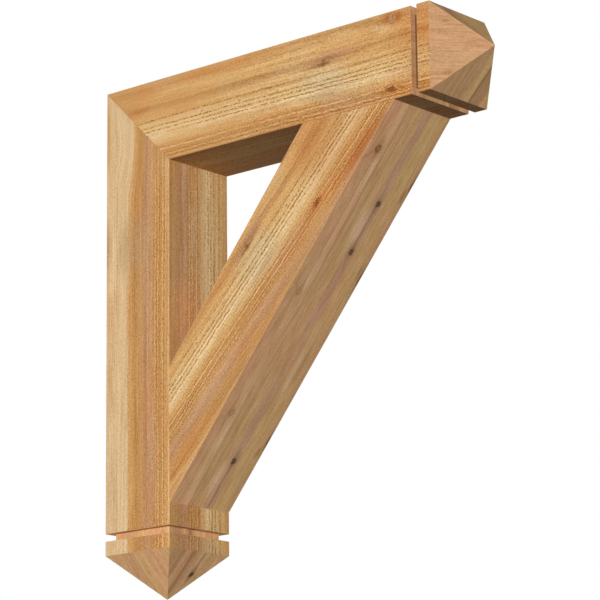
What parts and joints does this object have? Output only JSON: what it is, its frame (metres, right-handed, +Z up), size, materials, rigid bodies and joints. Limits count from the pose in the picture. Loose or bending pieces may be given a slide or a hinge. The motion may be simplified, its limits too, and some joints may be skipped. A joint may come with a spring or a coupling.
{
  "type": "corbel bracket",
  "caption": "Timber knee-brace corbel: wall leg and top arm mitred at the back corner, tied by a diagonal brace, with grooved ends cut to pyramid points. Carries an eave, beam or shelf.",
  "frame": {"origin": "middle of the leg's flat back face, where the bracket is fixed to the wall", "axes": "+Y points into the wall, so the arm reaches out along -Y; +Z is up; X runs across the bracket, which is symmetric about X = 0"},
  "size_m": [0.1524, 0.8128, 0.9144],
  "materials": {
    "leg_timber": "rough-sawn softwood, bare",
    "arm_timber": "rough-sawn softwood, bare",
    "brace_timber": "rough-sawn softwood sides with a smooth-planed under face, bare"
  },
  "bodies": {
    "root": {"wall_leg": "leg_timber", "top_arm": "arm_timber", "diagonal_brace": "brace_timber"}
  },
  "joints": []
}
